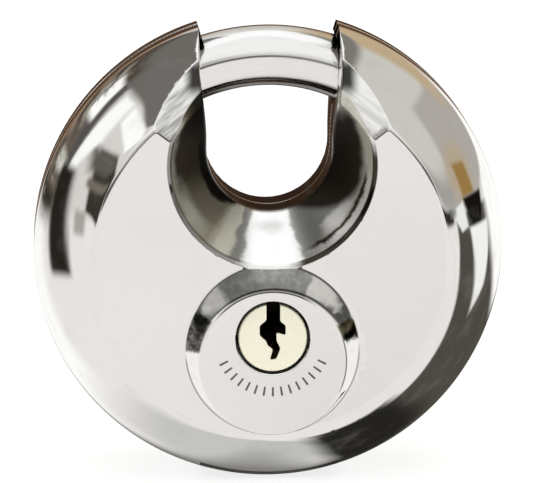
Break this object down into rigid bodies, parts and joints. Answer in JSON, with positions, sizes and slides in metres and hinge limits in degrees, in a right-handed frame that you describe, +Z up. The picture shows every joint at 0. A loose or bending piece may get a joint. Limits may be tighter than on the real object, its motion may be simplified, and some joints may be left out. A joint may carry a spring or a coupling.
{
  "type": "disc padlock",
  "caption": "Round stainless disc padlock with a recessed curved shackle across its top throat and a pin-tumbler plug in a raised boss.",
  "frame": {"origin": "underside of the shackle's crown, midway between the two faces, where the lock hangs on a hasp or staple", "axes": "+Z up from the plug to the shackle, -Y out of the front face with the plug, +X to the right seen from the front"},
  "size_m": [0.07, 0.027, 0.0684],
  "materials": {
    "shell_steel": "mirror-polished stainless steel",
    "shackle_steel": "polished hardened steel",
    "weld_steel": "ground weld bead",
    "guard_steel": "hardened, oil-blacked steel",
    "plain_steel": "plain machined steel",
    "case_zinc": "as-cast zinc alloy",
    "plug_brass": "pale nickel-washed brass",
    "pin_brass": "turned brass",
    "spring_steel": "spring wire"
  },
  "bodies": {
    "body": {"front_shell": "shell_steel", "rear_shell": "shell_steel", "rim_weld": "weld_steel", "throat_weld": "weld_steel", "throat_guard": "guard_steel", "lock_case": "case_zinc", "chamber_cover": "pin_brass", "drill_guard": "guard_steel", "case_screw_1": "plain_steel", "case_screw_2": "plain_steel", "case_screw_3": "plain_steel", "case_post_1": "plain_steel", "case_post_2": "plain_steel", "case_post_3": "plain_steel", "pin_spring_1": "spring_steel", "pin_spring_2": "spring_steel", "pin_spring_3": "spring_steel", "pin_spring_4": "spring_steel", "pin_spring_5": "spring_steel"},
    "shackle_body": {"shackle": "shackle_steel", "shackle_carrier": "plain_steel", "carrier_rivet_1": "plain_steel", "carrier_rivet_2": "plain_steel"},
    "plug_body": {"plug": "plug_brass", "plug_clip": "spring_steel", "plug_driver": "plain_steel"},
    "key_pin_body_1": {"key_pin_1": "pin_brass"},
    "driver_pin_body_1": {"driver_pin_1": "plain_steel"},
    "key_pin_body_2": {"key_pin_2": "pin_brass"},
    "driver_pin_body_2": {"driver_pin_2": "plain_steel"},
    "key_pin_body_3": {"key_pin_3": "pin_brass"},
    "driver_pin_body_3": {"driver_pin_3": "plain_steel"},
    "key_pin_body_4": {"key_pin_4": "pin_brass"},
    "driver_pin_body_4": {"driver_pin_4": "plain_steel"},
    "key_pin_body_5": {"key_pin_5": "pin_brass"},
    "driver_pin_body_5": {"driver_pin_5": "plain_steel"}
  },
  "joints": [
    {"name": "shackle_turn", "type": "hinge", "parent": "body", "child": "shackle_body", "pos_m": [0, 0, -0.0242], "axis": [0, -1, 0], "range_deg": [0, 54]},
    {"name": "plug_turn", "type": "hinge", "parent": "body", "child": "plug_body", "pos_m": [0, 0, -0.0355], "axis": [0, -1, 0], "range_deg": [-120, 0]},
    {"name": "key_pin_lift_1", "type": "slide", "parent": "plug_body", "child": "key_pin_body_1", "axis": [0, 0, 1], "range_m": [0, 0.0012]},
    {"name": "driver_pin_press_1", "type": "slide", "parent": "body", "child": "driver_pin_body_1", "axis": [0, 0, 1], "range_m": [-0.0012, 0], "stiffness_N_per_m": 60, "springref_m": 0.003, "deforming": ["pin_spring_1"]},
    {"name": "key_pin_lift_2", "type": "slide", "parent": "plug_body", "child": "key_pin_body_2", "axis": [0, 0, 1], "range_m": [0, 0.0012]},
    {"name": "driver_pin_press_2", "type": "slide", "parent": "body", "child": "driver_pin_body_2", "axis": [0, 0, 1], "range_m": [-0.0012, 0], "stiffness_N_per_m": 60, "springref_m": 0.003, "deforming": ["pin_spring_2"]},
    {"name": "key_pin_lift_3", "type": "slide", "parent": "plug_body", "child": "key_pin_body_3", "axis": [0, 0, 1], "range_m": [0, 0.0012]},
    {"name": "driver_pin_press_3", "type": "slide", "parent": "body", "child": "driver_pin_body_3", "axis": [0, 0, 1], "range_m": [-0.0012, 0], "stiffness_N_per_m": 60, "springref_m": 0.003, "deforming": ["pin_spring_3"]},
    {"name": "key_pin_lift_4", "type": "slide", "parent": "plug_body", "child": "key_pin_body_4", "axis": [0, 0, 1], "range_m": [0, 0.0012]},
    {"name": "driver_pin_press_4", "type": "slide", "parent": "body", "child": "driver_pin_body_4", "axis": [0, 0, 1], "range_m": [-0.0012, 0], "stiffness_N_per_m": 60, "springref_m": 0.003, "deforming": ["pin_spring_4"]},
    {"name": "key_pin_lift_5", "type": "slide", "parent": "plug_body", "child": "key_pin_body_5", "axis": [0, 0, 1], "range_m": [0, 0.0012]},
    {"name": "driver_pin_press_5", "type": "slide", "parent": "body", "child": "driver_pin_body_5", "axis": [0, 0, 1], "range_m": [-0.0012, 0], "stiffness_N_per_m": 60, "springref_m": 0.003, "deforming": ["pin_spring_5"]}
  ],
  "couplings": [
    {"joint": "plug_turn", "follows": "shackle_turn", "ratio": -2.2222}
  ]
}
